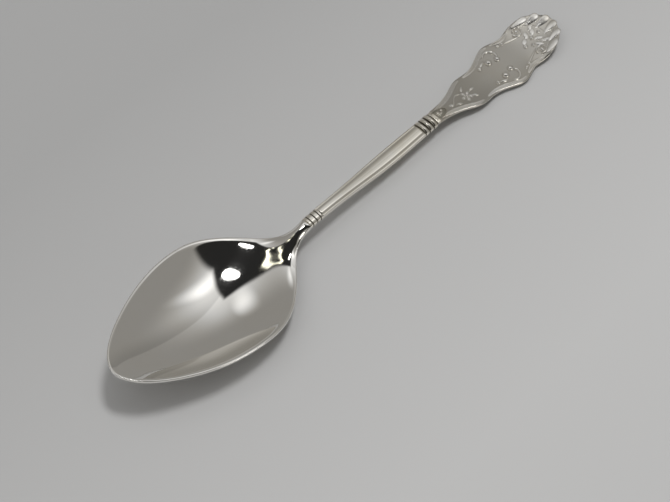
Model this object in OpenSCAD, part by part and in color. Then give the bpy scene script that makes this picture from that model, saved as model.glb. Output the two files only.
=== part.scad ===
// Teaspoon with a pointed oval bowl, a slim stem and a shaped, ornamented terminal.
// Lengths are in millimetres. The spoon lies along X, bowl tip towards -X, and Z is up from the table.

/* [Bowl] */
// Length of the bowl, from its tip to the narrow of the neck
bowl_l = 50; // [47:0.5:53]
// Width of the bowl over the rim
bowl_w = 30.6; // [28:0.2:33]
// Height of the rim above the table at the tip
tip_h = 11.05; // [10:0.05:12]
// Width of the flat rim
rim_w = 0.8; // [0.6:0.05:1.1]
// Height of the rim's outer edge
rim_t = 0.9; // [0.7:0.05:1.2]
// Thickness of the bowl's floor
floor_t = 0.9; // [0.7:0.05:1.2]
// Depth of the worn flat under the bowl
wear_d = 0.1; // [0.06:0.02:0.2]

/* [Neck and stem] */
// Length of the plain neck between the bowl and the lower bands
neck_l = 4; // [3:0.5:5]
// Width of the neck and of the start of the stem
neck_w = 2.8; // [2.6:0.1:3.2]
// Height of the neck's edge above the table
neck_h = 5.4; // [5.1:0.05:5.8]
// Length of the stem between the two sets of bands
stem_l = 33; // [30:0.5:36]
// Greatest width of the stem
stem_w = 4.15; // [3.8:0.05:4.6]
// Height of the stem's edge above the table where it meets the ribs
stem_h = 3.9; // [3.7:0.05:4.2]
// Thickness of the stem at its edges
stem_edge_t = 1.8; // [1.6:0.05:2]
// Rise of the crown of the stem above its edges
crown_h = 0.45; // [0.3:0.05:0.6]
// Drop of the belly under the stem below its edges
belly_h = 0.5; // [0.35:0.05:0.65]
// Width of the thread along each edge of the stem
thread_w = 0.4; // [0.3:0.05:0.5]

/* [Bands] */
// Length of the lower bands
band_l = 3.6; // [3:0.1:4.5]
// Number of cut grooves in the lower bands
band_count = 3; // [2:1:4]
// Depth of a cut groove
groove_d = 0.16; // [0.1:0.02:0.24]
// Length of the upper ribs
rib_l = 5.4; // [4.6:0.1:6]
// Number of raised ribs
rib_count = 3; // [2:1:4]
// Rise of a rib above the stem
rib_h = 0.35; // [0.2:0.05:0.5]

/* [Terminal] */
// Length of the sloping part of the terminal, from the ribs to where it lies flat
ramp_l = 19; // [17:0.5:21]
// Length of the part that lies flat on the table
flat_l = 15; // [13:0.5:17]
// Length of the turned-up end that carries the crest
crest_l = 9; // [8.4:0.2:10]
// Angle between the turned-up end and the table
curl_angle = 12; // [8:1:16]
// Greatest width of the terminal
terminal_w = 14.6; // [13:0.2:16]
// Thickness of the terminal plate
plate_t = 1.5; // [1.3:0.05:1.8]
// Height of the plate's top where it leaves the ribs
plate_h = 3.85; // [3.6:0.05:4.1]

/* [Ornament] */
// Height of the ornament above the plate
relief_h = 0.55; // [0.4:0.05:0.8]
// Width of the border thread
border_w = 0.6; // [0.45:0.05:0.8]
// Distance of the border thread from the plate's edge
border_inset = 0.45; // [0.35:0.05:0.6]
// Radius of a large bead
bead_r = 0.6; // [0.45:0.05:0.75]
// Radius of the scrolls
scroll_r = 1.6; // [1.3:0.1:1.8]
// Number of lobes round the crest
lobe_count = 6; // [4:2:8]
// Length of a lobe of the crest
lobe_l = 3.8; // [3.4:0.1:4.2]
// Width of a lobe of the crest
lobe_w = 2.6; // [2.4:0.1:2.9]
// Half the width of the fan on which the lobes stand
fan_w = 5.1; // [4.8:0.1:5.4]
// Radius of the volutes in the crest
volute_r = 1.3; // [1:0.1:1.5]
// Radius of the flower
flower_r = 1.25; // [1:0.05:1.5]
// Number of petals
petal_count = 5; // [4:1:6]
// Length of a leaf in the spray
leaf_l = 2.7; // [2.2:0.1:3.1]
// Length of the spray's stalk
stalk_l = 3.4; // [2.8:0.1:4]
// Distance of the first bud leaf from the ribs
bud_off = 1.2; // [1:0.1:1.6]
// Distance of the scrolls from the start of the flat
scroll_off = 4.7; // [4:0.1:5.4]
// Distance between the bud leaves and the stalk
spray_gap = 1; // [0.6:0.1:1.4]

/* [Joints] */
// Width of the tongues that join the pieces end to end
tongue_w = 1.2; // [1:0.1:1.4]
// Height of the tongues
tongue_h = 1; // [0.8:0.1:1.2]
// Depth of the sockets in the stem
socket_l = 3; // [2:0.5:4]
// Gap filled by solder round a tongue
solder_gap = 0.04; // [0.02:0.01:0.06]

/* [Hidden] */

// Places along the spoon, measured from the tip of the bowl
neck_s = bowl_l + neck_l;
stem_s = neck_s + band_l;
ribs_s = stem_s + stem_l;
plate_s = ribs_s + rib_l;
flat_s = plate_s + ramp_l;
crest_s = flat_s + flat_l;
overall_l = crest_s + crest_l;
plate_l = ramp_l + flat_l;
// One overrun serves every cut
cut = 1;

// Outline of the bowl, as shares of its length and of half its width
outline_shares = [[0, 0], [0.03, 0.2], [0.08, 0.41], [0.2, 0.675], [0.36, 0.9], [0.55, 1], [0.69, 0.925],
    [0.8, 0.71], [0.87, 0.48], [0.93, 0.26]];
// Rim seen from the side, as shares of the bowl's length and of the tip's height
rim_shares = [[0, 1], [0.1, 0.91], [0.2, 0.825], [0.36, 0.72], [0.55, 0.605], [0.7, 0.46], [0.8, 0.352],
    [0.87, 0.3], [0.93, 0.307], [1, 0.387]];
// Underside along the middle, in the same shares
keel_shares = [[0, 0.918], [0.03, 0.842], [0.08, 0.706], [0.16, 0.507], [0.26, 0.299], [0.38, 0.115],
    [0.49, 0.015], [0.55, 0], [0.62, 0.014], [0.74, 0.067], [0.84, 0.13], [0.92, 0.18], [1, 0.24]];
// Upright thickness of the floor along the middle, as shares of the bowl's length and of the floor
floor_shares = [[0, 0.9], [0.04, 1.35], [0.12, 1.35], [0.26, 1.1], [0.5, 1], [0.74, 1.15], [0.84, 1.55],
    [0.92, 2.15], [1, 2.85]];
// Outline of the terminal up to the crest, as shares of its length and of half its width
terminal_shares = [[0, 0.27], [0.116, 0.33], [0.21, 0.45], [0.285, 0.59], [0.355, 0.67], [0.45, 0.655],
    [0.54, 0.71], [0.63, 0.88], [0.715, 1], [0.8, 0.955], [0.9, 0.87], [1, 0.87]];
// Swell of the stem's half width, as shares of its length and of the step from neck to full width
swell_shares = [[0, 0], [0.2, 0.12], [0.38, 0.45], [0.55, 0.85], [0.72, 1], [1, 0.85]];
// Fall of the stem's edge, as shares of its length and of the step from neck to ribs
fall_shares = [[0, 0], [0.12, 0.1], [0.38, 0.51], [0.66, 0.86], [1, 1]];

// Places along the plate, as shares of its length
border_from_share = 0.12;
border_to_share = 0.9;
// Places along the turned-up end, as shares of its length
fan_share = 0.15;
volute_share = 0.13;
flower_share = 0.4;
// Distances from the middle, as shares of the terminal's width
scroll_side_share = 0.25;
volute_side_share = 0.255;

// Blunt nose at the very tip, as a share of the next section's width
nose_share = 0.4;
// Place where the bowl's thin rim starts to thicken into the neck, as a share of the bowl's length
shoulder_share = 0.8;

// Power of the curve across the bowl and across the stem
across_power = 2.2;
// Steps across a section, and between two points of an outline
across_steps = 16;
along_steps = 5;

neck_r = neck_w / 2;
neck_floor_t = crown_h + stem_edge_t + belly_h;
swell = (stem_w - neck_w) / 2;

// Curve through the points of a line, as a value for each place x
function place_in(line, x, i = 0) = i >= len(line) - 2 || x < line[i + 1][0] ? i : place_in(line, x, i + 1);
function slope_of(line, i) =
    let (a = line[max(i - 1, 0)], b = line[min(i + 1, len(line) - 1)])
    (b[1] - a[1]) / (b[0] - a[0]);
function value_at(line, x) =
    let (
        i = place_in(line, x),
        a = line[i],
        b = line[i + 1],
        run = b[0] - a[0],
        t = (x - a[0]) / run,
        m = run * slope_of(line, i),
        n = run * slope_of(line, i + 1)
    )
    a[1] + t * (m + t * (3 * (b[1] - a[1]) - 2 * m - n + t * (m + n - 2 * (b[1] - a[1]))));

// Smooth path through points, with a mirrored start so that a tip comes out round
function blend(a, b, c, d, t) =
    b + t * (c - a + t * (2 * a - 5 * b + 4 * c - d + t * (3 * (b - c) + d - a))) / 2;
function path_through(points, steps, before) =
    let (last = len(points) - 1, after = 2 * points[last] - points[last - 1])
    [
        for (i = [0:last - 1], j = [0:steps - 1])
            let (a = i == 0 ? before : points[i - 1], d = i + 2 > last ? after : points[i + 2])
            blend(a, points[i], points[i + 1], d, j / steps),
        points[last]
    ];

// Long lines of the spoon: edge, floor or belly, thickness and half width for each place s
neck_keel_h = neck_h - stem_edge_t - belly_h;
rim_line = concat([for (p = rim_shares) [p[0] * bowl_l, p[1] * tip_h]], [[neck_s, neck_h]]);
keel_line = concat([for (p = keel_shares) [p[0] * bowl_l, p[1] * tip_h - wear_d]], [[neck_s, neck_keel_h]]);
floor_line = concat([for (p = floor_shares) [p[0] * bowl_l, p[1] * floor_t]], [[neck_s, neck_floor_t]]);
edge_t_line = [[0, rim_t], [shoulder_share * bowl_l, rim_t], [neck_s, stem_edge_t]];
land_line = [[0, rim_w], [shoulder_share * bowl_l, rim_w], [neck_s, thread_w]];
swell_line = [for (p = swell_shares) [stem_s + p[0] * stem_l, neck_r + p[1] * swell]];
fall_line = [for (p = fall_shares) [stem_s + p[0] * stem_l, neck_h - p[1] * (neck_h - stem_h)]];

// One closed section: the top from left to right, then the underside back
function section(s, half_w, land, edge_z, crown_z, side_t, keel_z) =
    let (inner = half_w * half_w / (half_w + land), steps = across_steps)
    concat(
        [[s, -half_w, edge_z]],
        [
            for (i = [0:steps])
                let (u = 2 * i / steps - 1)
                [s, u * inner, crown_z + (edge_z - crown_z) * pow(abs(u), across_power)]
        ],
        [[s, half_w, edge_z]],
        [
            for (i = [0:steps + 2])
                let (u = 1 - 2 * i / (steps + 2))
                [s, u * half_w, keel_z + (edge_z - side_t - keel_z) * pow(abs(u), across_power)]
        ]
    );

function bowl_section(s, half_w) =
    let (keel_z = value_at(keel_line, s))
    section(s, half_w, value_at(land_line, s), value_at(rim_line, s), keel_z + value_at(floor_line, s),
        value_at(edge_t_line, s), keel_z);

function stem_section(s, rise = 0, grow = 0) =
    let (
        at = min(max(s, stem_s), ribs_s),
        edge_z = value_at(fall_line, at) + rise,
        half_w = value_at(swell_line, at) + grow
    )
    section(s, half_w, thread_w, edge_z, edge_z + crown_h, stem_edge_t + rise + grow,
        edge_z - rise - stem_edge_t - belly_h - grow);

// The plate slopes down, lies flat and turns up at its end
tilt = atan((plate_h - plate_t) / ramp_l);
terminal_line = [for (p = terminal_shares) [plate_s + p[0] * plate_l, p[1] * terminal_w / 2]];
function plate_top(s) = max(plate_h - (s - plate_s) * tan(tilt), plate_t);
function on_top(s, y) = [s, y, plate_top(s)];
// Length of the turned-up end along its slope, and the fan of lobes on it
rise_l = (crest_l - plate_t * sin(curl_angle)) / cos(curl_angle);
fan_u = fan_share * rise_l;
fan_l = rise_l - fan_u - lobe_l / 2;
fan_angle = 150;
lobe_places = [
    for (i = [0:lobe_count - 1])
        let (turn = fan_angle * (i / (lobe_count - 1) - 1 / 2))
        [fan_u + fan_l * cos(turn), fan_w * sin(turn)]
];

// A solid through closed sections whose first half is the top and whose second half is the underside
module loft(sections) {
    n = len(sections[0]);
    last = len(sections) - 1;
    points = [for (ring = sections) each ring];
    walls = [
        for (i = [0:last - 1], j = [0:n - 1])
            let (a = i * n + j, b = i * n + (j + 1) % n)
            each [[a, b, b + n], [a, b + n, a + n]]
    ];
    start = [
        for (j = [0:n / 2 - 2])
            let (a = j, b = j + 1, c = n - 2 - j, d = n - 1 - j)
            each [[a, c, b], [a, d, c]]
    ];
    end = [for (face = start) [for (k = [0:2]) face[2 - k] + last * n]];
    polyhedron(points, concat(walls, start, end), convexity = 6);
}

// Relief: a strip of half-round section along points that lie on the plate
function strip_ring(a, b, wide, high) =
    let (run = b - a, side = [-run[1], run[0], 0] / norm([run[0], run[1]]))
    [for (k = [0:4]) side * cos(45 * k) * wide / 2 + [0, 0, high * sin(45 * k)]];
module strip(points, wide, high) {
    last = len(points) - 1;
    rings = [
        for (i = [0:last])
            let (
                a = points[max(i - 1, 0)],
                b = points[min(i + 1, last)],
                taper = i == 0 || i == last ? 0.5 : 1
            )
            [for (p = strip_ring(a, b, wide * taper, high * taper)) p + points[i]]
    ];
    walls = [
        for (i = [0:last - 1], j = [0:4])
            let (a = i * 5 + j, b = i * 5 + (j + 1) % 5)
            each [[a, b + 5, b], [a, a + 5, b + 5]]
    ];
    start = [for (j = [1:3]) [0, j, j + 1]];
    end = [for (j = [1:3]) [0, j + 1, j] + [1, 1, 1] * last * 5];
    polyhedron([for (ring = rings) each ring], concat(walls, start, end), convexity = 4);
}

// Relief: a bead, and a leaf that is pointed at its far end
module bead(r) {
    intersection() {
        sphere(r, $fn = 24);
        translate([-r, -r, 0]) cube([2 * r, 2 * r, r]);
    }
}

leaf_steps = 12;
module leaf(long, wide, high) {
    rings = [[1, 0], [0.75, 0.7], [0.35, 0.95]];
    points = concat(
        [
            for (ring = rings, k = [0:leaf_steps - 1])
                let (turn = 360 * k / leaf_steps, point = 1 - 0.35 * (1 + cos(turn)) / 2)
                [ring[0] * cos(turn) * long / 2, ring[0] * point * sin(turn) * wide / 2, ring[1] * high]
        ],
        [[0, 0, high]]
    );
    walls = [
        for (i = [0:1], k = [0:leaf_steps - 1])
            let (a = i * leaf_steps + k, b = i * leaf_steps + (k + 1) % leaf_steps)
            each [[a, b + leaf_steps, b], [a, a + leaf_steps, b + leaf_steps]]
    ];
    top = [
        for (k = [0:leaf_steps - 1])
            [2 * leaf_steps + (k + 1) % leaf_steps, 2 * leaf_steps + k, 3 * leaf_steps]
    ];
    base = [for (k = [1:leaf_steps - 2]) [0, k, k + 1]];
    polyhedron(points, concat(walls, top, base), convexity = 2);
}

// Frames on the slope, on the flat and on the turned-up end, with X along them and Y across
module on_ramp() {
    translate([plate_s, 0, plate_h]) rotate([0, tilt, 0]) children();
}
module on_flat() {
    translate([flat_s, 0, plate_t]) children();
}
module on_crest() {
    translate([crest_s, 0, plate_t]) rotate([0, -curl_angle, 0]) children();
}
// Everything is placed from the bowl's tip, and then centred over the table
module centred() {
    translate([-overall_l / 2, 0, 0]) children();
}

module tongue(from_s, to_s, z, gap = 0) {
    translate([from_s, -tongue_w / 2 - gap, z - tongue_h / 2 - gap])
        cube([to_s - from_s, tongue_w + 2 * gap, tongue_h + 2 * gap]);
}
lower_tongue_z = neck_h + (crown_h - stem_edge_t - belly_h) / 2;
upper_tongue_z = plate_h - plate_t / 2;

module bowl() {
    outline = concat([for (p = outline_shares) [p[0] * bowl_l, p[1] * bowl_w / 2]],
        [[bowl_l, neck_r * 1.1], [neck_s, neck_r]]);
    path = path_through(outline, along_steps, [outline[1][0], -outline[1][1]]);
    nose = path[1][1] * nose_share;
    color("silver") centred() {
        difference() {
            union() {
                loft([for (p = path) bowl_section(p[0], max(p[1], nose))]);
                tongue(neck_s - cut, stem_s + socket_l, lower_tongue_z);
            }
            translate([0, -bowl_w / 2, -cut]) cube([bowl_l, bowl_w, cut]);
        }
    }
}

module lower_collar() {
    pitch = band_l / band_count;
    groove_w = pitch * 0.3;
    stations = [
        for (i = [0:band_count - 1])
            let (middle = neck_s + (i + 0.5) * pitch)
            each [[middle - pitch / 2, 0], [middle - groove_w / 2, 0], [middle, -groove_d],
                [middle + groove_w / 2, 0]],
        [stem_s, 0]
    ];
    color("silver") centred() {
        difference() {
            loft([for (p = stations) stem_section(p[0], p[1], p[1])]);
            tongue(neck_s - cut, stem_s + cut, lower_tongue_z, solder_gap);
        }
    }
}

module stem() {
    steps = 24;
    color("gainsboro") centred() {
        difference() {
            loft([for (i = [0:steps]) stem_section(stem_s + i * stem_l / steps)]);
            tongue(stem_s - cut, stem_s + socket_l + solder_gap, lower_tongue_z, solder_gap);
            tongue(ribs_s - socket_l - solder_gap, ribs_s + cut, upper_tongue_z, solder_gap);
        }
    }
}

module upper_collar() {
    pitch = rib_l / rib_count;
    rib_steps = 6;
    stations = [
        for (i = [0:rib_count - 1], j = [0:rib_steps - 1])
            [ribs_s + (i + j / rib_steps) * pitch, rib_h * sin(180 * j / rib_steps)],
        [plate_s, 0]
    ];
    color("silver") centred() {
        difference() {
            loft([for (p = stations) stem_section(p[0], p[1], p[1] / 2)]);
            tongue(ribs_s - cut, plate_s + cut, upper_tongue_z, solder_gap);
        }
    }
}

// Outline of the plate between two places, on a slope that starts at the first one
module outline_of(from_s, to_s, slope, before, after) {
    steps = 40;
    side = [
        for (i = [0:steps])
            let (s = from_s + i * (to_s - from_s) / steps)
            [(s - from_s) / cos(slope), value_at(terminal_line, s)]
    ];
    first = side[0];
    last = side[steps];
    left = concat([[-before, first[1]]], side, [[last[0] + after, last[1]]]);
    polygon(concat(left, [for (i = [len(left) - 1:-1:0]) [left[i][0], -left[i][1]]]));
}

module terminal_plate() {
    end_w = value_at(terminal_line, crest_s);
    fan = concat([[0, -end_w]], lobe_places, [[0, end_w]]);
    color("gainsboro") centred() {
        difference() {
            union() {
                on_ramp() translate([0, 0, -plate_t])
                    linear_extrude(plate_t) outline_of(plate_s, flat_s, tilt, cut, plate_t);
                on_flat() translate([0, 0, -plate_t])
                    linear_extrude(plate_t) outline_of(flat_s, crest_s, 0, 0, plate_t * sin(curl_angle));
                on_crest() translate([0, 0, -plate_t]) linear_extrude(plate_t) {
                    polygon(fan);
                    for (place = lobe_places)
                        translate(place) scale([lobe_l, lobe_w]) circle(d = 1, $fn = 32);
                }
            }
            translate([plate_s - 2 * cut, -terminal_w, 0]) cube([2 * cut, 2 * terminal_w, 2 * plate_h]);
            translate([plate_s, -terminal_w, -plate_t]) cube([plate_l, 2 * terminal_w, plate_t]);
        }
        tongue(ribs_s - socket_l, plate_s + cut, upper_tongue_z);
    }
}

// A thread along one edge of the plate; side is 1 on the left and -1 on the right
module border(side) {
    first = plate_s + border_from_share * plate_l;
    last = plate_s + border_to_share * plate_l;
    steps = 36;
    inset = border_inset + border_w / 2;
    places = [for (i = [0:steps]) first + (last - first) * i / steps];
    points = [for (s = places) on_top(s, side * (value_at(terminal_line, s) - inset))];
    color("silver") centred() strip(points, border_w, relief_h / 2);
}
module border_left() {
    border(1);
}
module border_right() {
    border(-1);
}

module flower(r) {
    petal_l = r * 0.8;
    petal_w = r * 0.7;
    for (k = [0:petal_count - 1])
        rotate([0, 0, 180 + (k + 0.5) * 360 / petal_count])
            translate([r - petal_l / 2, 0, 0]) leaf(petal_l, petal_w, relief_h);
    bead(r / 3);
}

// Three leaves in a row that grow smaller towards the flower
bud_l = bead_r * 1.8;
bud_step = bead_r * 1.5;
module cartouche_bud() {
    color("silver") centred() on_ramp() translate([bud_off, 0, 0])
        for (k = [0:2]) translate([k * bud_step, 0, 0]) leaf(bud_l, bud_l * (1 - k / 5), relief_h);
}

// A flower on a stalk, with a pair of leaves beyond it and a smaller pair on the stalk
module flower_spray() {
    leaf_w = leaf_l / 3;
    small_l = leaf_l * 0.6;
    small_w = leaf_w * 0.7;
    flower_u = bud_off + 2 * bud_step + bud_l / 2 + spray_gap + stalk_l + flower_r;
    stalk = [for (share = [1, 0.5, 0]) [-flower_r - share * stalk_l, 0, 0]];
    color("silver") centred() on_ramp() translate([flower_u, 0, 0]) {
        flower(flower_r);
        strip(stalk, leaf_w / 2, relief_h / 2);
        for (side = [-1, 1]) {
            translate([1.4 * flower_r, side * flower_r, 0]) rotate([0, 0, side * 40])
                leaf(leaf_l, leaf_w, relief_h);
            translate([-flower_r - stalk_l / 2, side * flower_r / 2, 0]) rotate([0, 0, side * 35])
                leaf(small_l, small_w, relief_h);
        }
    }
}

// Points of an arc about the middle, from one angle to another
function arc(r, from, to, steps) =
    [for (i = [0:steps]) let (turn = from + (to - from) * i / steps) [r * cos(turn), r * sin(turn), 0]];

// A C scroll that starts in a bead, and a second bead before it; side is 1 on the left, -1 on the right
module scroll(side) {
    start_angle = -80;
    end_angle = 115;
    steps = 14;
    start = scroll_r * [cos(start_angle), side * sin(start_angle), 0];
    place = [scroll_off, side * scroll_side_share * terminal_w, 0];
    color("silver") centred() on_flat() translate(place) {
        strip(arc(scroll_r, side * start_angle, side * end_angle, steps), bead_r, relief_h);
        translate(start) bead(bead_r);
        translate([-1.2 * scroll_r, -side * scroll_r / 2, 0]) bead(bead_r);
    }
}
module scroll_left() {
    scroll(1);
}
module scroll_right() {
    scroll(-1);
}

// A fan of lobes over two volutes and a flower
module shell_crest() {
    steps = 16;
    volute_open = 20;
    volute_w = volute_r / 2;
    color("silver") centred() on_crest() {
        for (place = lobe_places) translate(place) leaf(lobe_l, lobe_w, relief_h * 1.6);
        for (side = [-1, 1]) {
            turns = side * arc(volute_r, volute_open, 360 - 2 * volute_open, steps);
            place = [volute_share * rise_l, side * volute_side_share * terminal_w, 0];
            translate(place) strip(turns, volute_w, relief_h);
            translate(place) bead(volute_r / 2);
        }
        translate([flower_share * rise_l, 0, 0]) flower(flower_r);
    }
}

bowl();
lower_collar();
stem();
upper_collar();
terminal_plate();
border_left();
border_right();
cartouche_bud();
flower_spray();
scroll_left();
scroll_right();
shell_crest();
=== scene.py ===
from math import cos, pi, radians, sin, sqrt

import bmesh
import bpy
from mathutils import Matrix, Vector


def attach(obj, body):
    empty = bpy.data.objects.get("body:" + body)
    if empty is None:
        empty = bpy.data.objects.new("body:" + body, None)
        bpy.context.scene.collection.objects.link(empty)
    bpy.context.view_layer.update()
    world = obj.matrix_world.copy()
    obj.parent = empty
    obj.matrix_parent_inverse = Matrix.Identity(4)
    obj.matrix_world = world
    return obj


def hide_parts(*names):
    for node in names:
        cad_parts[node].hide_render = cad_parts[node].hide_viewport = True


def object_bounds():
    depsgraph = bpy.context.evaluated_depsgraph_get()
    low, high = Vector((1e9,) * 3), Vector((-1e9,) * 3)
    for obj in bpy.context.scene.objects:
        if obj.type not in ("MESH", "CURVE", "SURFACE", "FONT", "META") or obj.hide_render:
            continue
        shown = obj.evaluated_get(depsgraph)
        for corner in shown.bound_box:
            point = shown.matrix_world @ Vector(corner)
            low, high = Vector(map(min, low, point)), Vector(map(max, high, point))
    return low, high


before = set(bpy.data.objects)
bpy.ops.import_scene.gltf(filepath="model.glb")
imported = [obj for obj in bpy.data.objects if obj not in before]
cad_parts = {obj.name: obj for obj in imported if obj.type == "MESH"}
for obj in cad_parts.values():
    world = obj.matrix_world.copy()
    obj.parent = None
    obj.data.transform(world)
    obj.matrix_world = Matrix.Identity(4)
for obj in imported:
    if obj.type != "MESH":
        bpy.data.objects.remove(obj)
cadLow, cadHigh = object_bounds()

mm = 0.001
tipX = cadLow.x  # every place along the spoon is counted from the bowl's tip
near = 1e-6  # places closer than this are one
close = 1e-5  # and this finds a row or a line again
sharpEdge = radians(38)  # edges sharper than this keep some of their crispness
slabLevels = 2
reliefLevels = 1


def say(text):
    print("[teaspoon] " + text)


# Hand tools

def smoothLine(points):  # one smooth curve through a few chosen points, read at any place
    places = [p[0] for p in points]
    values = [p[1] for p in points]
    last = len(points) - 1
    bend = [0.0] * (last + 1)
    carry = [0.0] * (last + 1)
    for i in range(1, last):
        before = places[i] - places[i - 1]
        after = places[i + 1] - places[i]
        share = before / (before + after)
        pivot = share * bend[i - 1] + 2
        turn = (values[i + 1] - values[i]) / after - (values[i] - values[i - 1]) / before
        bend[i] = (share - 1) / pivot
        carry[i] = (6 * turn / (before + after) - share * carry[i - 1]) / pivot
    for i in range(last - 1, -1, -1):
        bend[i] = bend[i] * bend[i + 1] + carry[i]

    def valueAt(place):
        i = max(0, min(last - 1, sum(p <= place for p in places) - 1))
        gap = places[i + 1] - places[i]
        b = (place - places[i]) / gap
        a = 1 - b
        curve = (a ** 3 - a) * bend[i] + (b ** 3 - b) * bend[i + 1]
        return a * values[i] + b * values[i + 1] + curve * gap * gap / 6

    return valueAt


def along(s):  # from millimetres behind the bowl's tip to a place in the frame
    return tipX + s * mm


def steepness(line, s, reach):
    return (line(s + reach) - line(s - reach)) / (2 * reach)


def even(first, last, steps):
    return [first + (last - first) * i / steps for i in range(steps + 1)]


def across(steps, power):  # an even section from side to side, flat in the middle and steep at its edges
    return [(y, abs(y) ** power) for y in even(-1, 1, steps)]


def only(*pieces):  # selects these objects and nothing else
    bpy.ops.object.select_all(action="DESELECT")
    for piece in pieces:
        piece.select_set(True)
    bpy.context.view_layer.objects.active = pieces[0]


def openNew(name):  # names the primitive that was just added, and opens it with its place in its mesh
    piece = bpy.context.active_object
    piece.name = name
    piece.data.name = name
    bpy.ops.object.transform_apply(location=True, rotation=True, scale=True)
    bpy.ops.object.mode_set(mode="EDIT")
    bpy.ops.mesh.select_mode(type="VERT")
    return piece


def pick(piece, keep):  # selects the vertices that keep says yes to
    mesh = bmesh.from_edit_mesh(piece.data)
    for vertex in mesh.verts:
        vertex.select_set(keep(vertex.co))
    mesh.select_flush_mode()
    bmesh.update_edit_mesh(piece.data, loop_triangles=False, destructive=False)


def move(x=0.0, y=0.0, z=0.0):
    bpy.ops.transform.translate(value=(x, y, z))


def stretch(x=1.0, y=1.0, z=1.0, about=(0, 0, 0)):
    bpy.ops.transform.resize(value=(x, y, z), center_override=about)


def closeUp():  # leaves edit mode and smooths the faces
    bpy.ops.object.mode_set(mode="OBJECT")
    bpy.ops.object.shade_smooth()


def subdivided(piece, levels=reliefLevels):
    only(piece)
    modifier = piece.modifiers.new("Smooth", "SUBSURF")
    modifier.levels = levels
    modifier.render_levels = levels
    bpy.ops.object.modifier_apply(modifier=modifier.name)
    bpy.ops.object.shade_smooth()
    return piece


def joined(name, pieces):
    only(*pieces)
    if len(pieces) > 1:
        bpy.ops.object.join()
    pieces[0].name = name
    pieces[0].data.name = name
    return pieces[0]


def darken(piece, finish, inside):  # gives the faces whose place inside says yes to a second material
    piece.data.materials.append(silver[finish])
    only(piece)
    bpy.ops.object.mode_set(mode="EDIT")
    bpy.ops.mesh.select_mode(type="FACE")
    mesh = bmesh.from_edit_mesh(piece.data)
    for face in mesh.faces:
        face.select_set(inside((face.calc_center_median().x - tipX) / mm))
    bmesh.update_edit_mesh(piece.data, loop_triangles=False, destructive=False)
    piece.active_material_index = 1
    bpy.ops.object.material_slot_assign()
    bpy.ops.object.mode_set(mode="OBJECT")


def copied(piece, name):  # a copy with its own mesh
    twin = piece.copy()
    twin.data = piece.data.copy()
    twin.name = name
    twin.data.name = name
    bpy.context.collection.objects.link(twin)
    return twin


def placed(piece, place, turn, tilt, lean, sizes=(1, 1, 1)):  # puts the piece's place into its mesh
    size = Matrix.Diagonal((*sizes, 1))
    turned = Matrix.Rotation(lean, 4, "X") @ Matrix.Rotation(tilt, 4, "Y") @ Matrix.Rotation(turn, 4, "Z")
    piece.data.transform(Matrix.Translation(place) @ turned @ size)
    return piece


def dressed(piece, finish, slot, *nodes):  # the finished piece takes the place of its CAD node
    piece.data.materials.append(silver[finish])
    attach(piece, "root")
    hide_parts(*nodes)
    return piece


waitX = 2.0  # rows that are not shaped yet wait here, clear of the spoon
waitZ = 4.0  # and lines that are not shaped yet wait up here
endStep = 0.02 * mm
landMark = 0.001  # lines this far outside a section's edge bound the flat land of a rim


def shapedSheet(name, rows, section):
    # a flat grid: each lengthwise line takes its place in the section, then each row its place and size
    bpy.ops.object.select_all(action="DESELECT")
    bpy.ops.mesh.primitive_grid_add(x_subdivisions=len(rows) - 1, y_subdivisions=len(section) - 1, size=2,
                                    location=(waitX + 1, 0, waitZ))
    piece = openNew(name)
    for i, (y, z) in enumerate(section):
        start = 2 * i / (len(section) - 1) - 1
        pick(piece, lambda co: abs(co.y - start) < near and co.z > waitZ / 2)
        move(0, y - start, z - waitZ)
    for i, (x, width, base, height, land) in enumerate(rows):
        start = waitX + 2 * i / (len(rows) - 1)
        if land:
            for side in (-1, 1):
                pick(piece, lambda co: abs(co.x - start) < close and co.y * side > 1 + landMark / 2)
                move(0, side * (land / width - landMark))
        pick(piece, lambda co: abs(co.x - start) < close)
        move(x - start)
        stretch(1, width, height)
        move(0, 0, base)
    return piece


def closedRows(rows, section):  # an end row that isn't level gets a level one beside it, and so can close
    def level(row, step):
        x, width, base, height, land = row
        return (x + step, width, base + height * section[0][1], 0, land)

    rows = list(rows)
    if abs(rows[0][3]) > near:
        rows.insert(0, level(rows[0], -endStep))
    if abs(rows[-1][3]) > near:
        rows.append(level(rows[-1], endStep))
    return rows


def slab(name, topRows, topSection, underRows, underSection, wall, crease):
    # two sheets, one over the other; a wall raised from the lower one meets the edge of the upper one
    topRows = closedRows(topRows, topSection)
    underRows = closedRows(underRows, underSection)
    under = shapedSheet(name, underRows, underSection)
    bpy.ops.mesh.select_all(action="SELECT")
    bpy.ops.mesh.region_to_loop()
    bpy.ops.mesh.extrude_edges_move(TRANSFORM_OT_translate={"value": (0, 0, wall * mm)})
    bpy.ops.object.mode_set(mode="OBJECT")
    top = shapedSheet(name + "Top", topRows, topSection)
    bpy.ops.object.mode_set(mode="OBJECT")
    piece = joined(name, [under, top])
    bpy.ops.object.mode_set(mode="EDIT")
    bpy.ops.mesh.select_mode(type="EDGE")
    bpy.ops.mesh.select_all(action="SELECT")
    bpy.ops.mesh.remove_doubles(threshold=near)
    bpy.ops.mesh.normals_make_consistent(inside=False)
    bpy.ops.mesh.select_all(action="DESELECT")
    bpy.ops.mesh.edges_select_sharp(sharpness=sharpEdge)
    bpy.ops.transform.edge_crease(value=crease)
    closeUp()
    return subdivided(piece, slabLevels)


say("hand tools ready")

# Bowl and neck

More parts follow.
